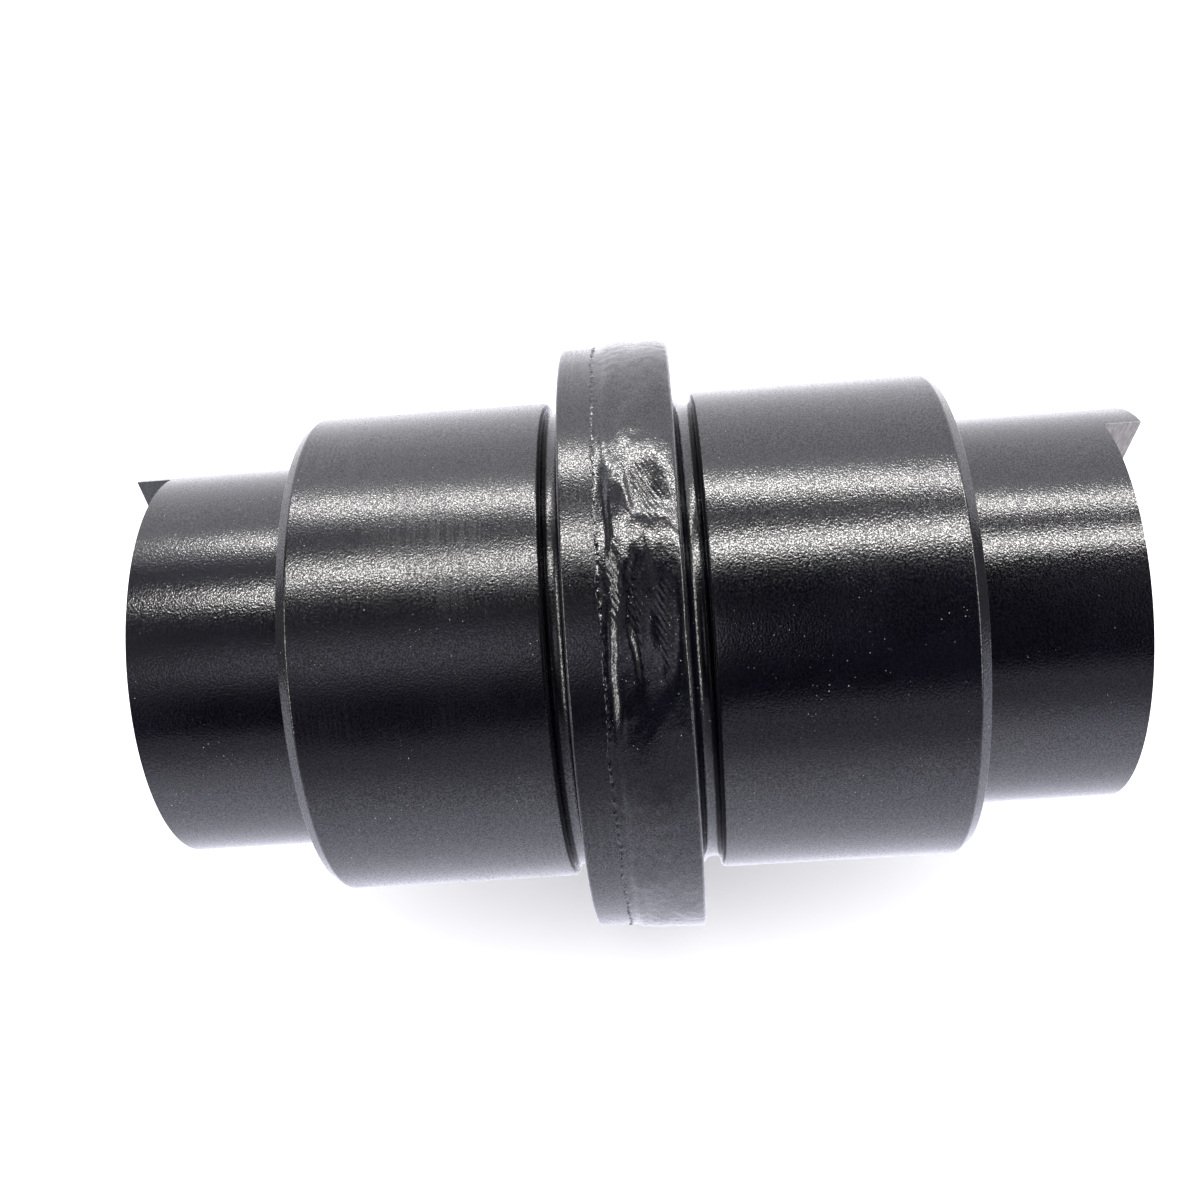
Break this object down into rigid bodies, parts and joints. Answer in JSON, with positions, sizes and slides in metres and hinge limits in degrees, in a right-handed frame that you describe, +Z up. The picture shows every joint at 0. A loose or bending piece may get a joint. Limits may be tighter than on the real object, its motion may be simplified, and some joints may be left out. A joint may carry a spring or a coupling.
{
  "type": "track roller",
  "caption": "Bottom track roller with a centre flange: a welded shell turns on bronze bushings round a sealed, oil-filled fixed axle with lugged collars and tapped ends.",
  "frame": {"origin": "centre of the bounding box, which is the middle of the axle on its centre line", "axes": "+Y along the axle towards the right end, +Z up, +X towards the side from which the end called right is on the right"},
  "size_m": [0.1358, 0.225, 0.1358],
  "materials": {
    "shell_paint": "glossy black enamel over a forged and turned steel shell",
    "weld_paint": "glossy black enamel over a rough, rippled weld",
    "collar_paint": "glossy black enamel with a fine orange peel",
    "shaft_steel": "ground and turned steel, lightly oiled",
    "seal_iron": "lapped chromium iron",
    "bushing_bronze": "turned bronze",
    "seal_rubber": "matt nitrile rubber",
    "pin_steel": "dark hardened steel",
    "plated_steel": "zinc-plated steel"
  },
  "bodies": {
    "axle": {"shaft": "shaft_steel", "oil_plug": "plated_steel", "collar_left": "collar_paint", "fixed_seal_ring_left": "seal_iron", "fixed_toric_left": "seal_rubber", "shaft_oring_left": "seal_rubber", "retaining_pin_left": "pin_steel", "collar_right": "collar_paint", "fixed_seal_ring_right": "seal_iron", "fixed_toric_right": "seal_rubber", "shaft_oring_right": "seal_rubber", "retaining_pin_right": "pin_steel"},
    "roller": {"weld_bead": "weld_paint", "shell_half_left": "shell_paint", "bushing_left": "bushing_bronze", "turning_seal_ring_left": "seal_iron", "turning_toric_left": "seal_rubber", "shell_half_right": "shell_paint", "bushing_right": "bushing_bronze", "turning_seal_ring_right": "seal_iron", "turning_toric_right": "seal_rubber"}
  },
  "joints": [
    {"name": "roller_spin", "type": "hinge", "parent": "axle", "child": "roller", "pos_m": [0, 0, 0], "axis": [0, 1, 0], "continuous": true}
  ]
}
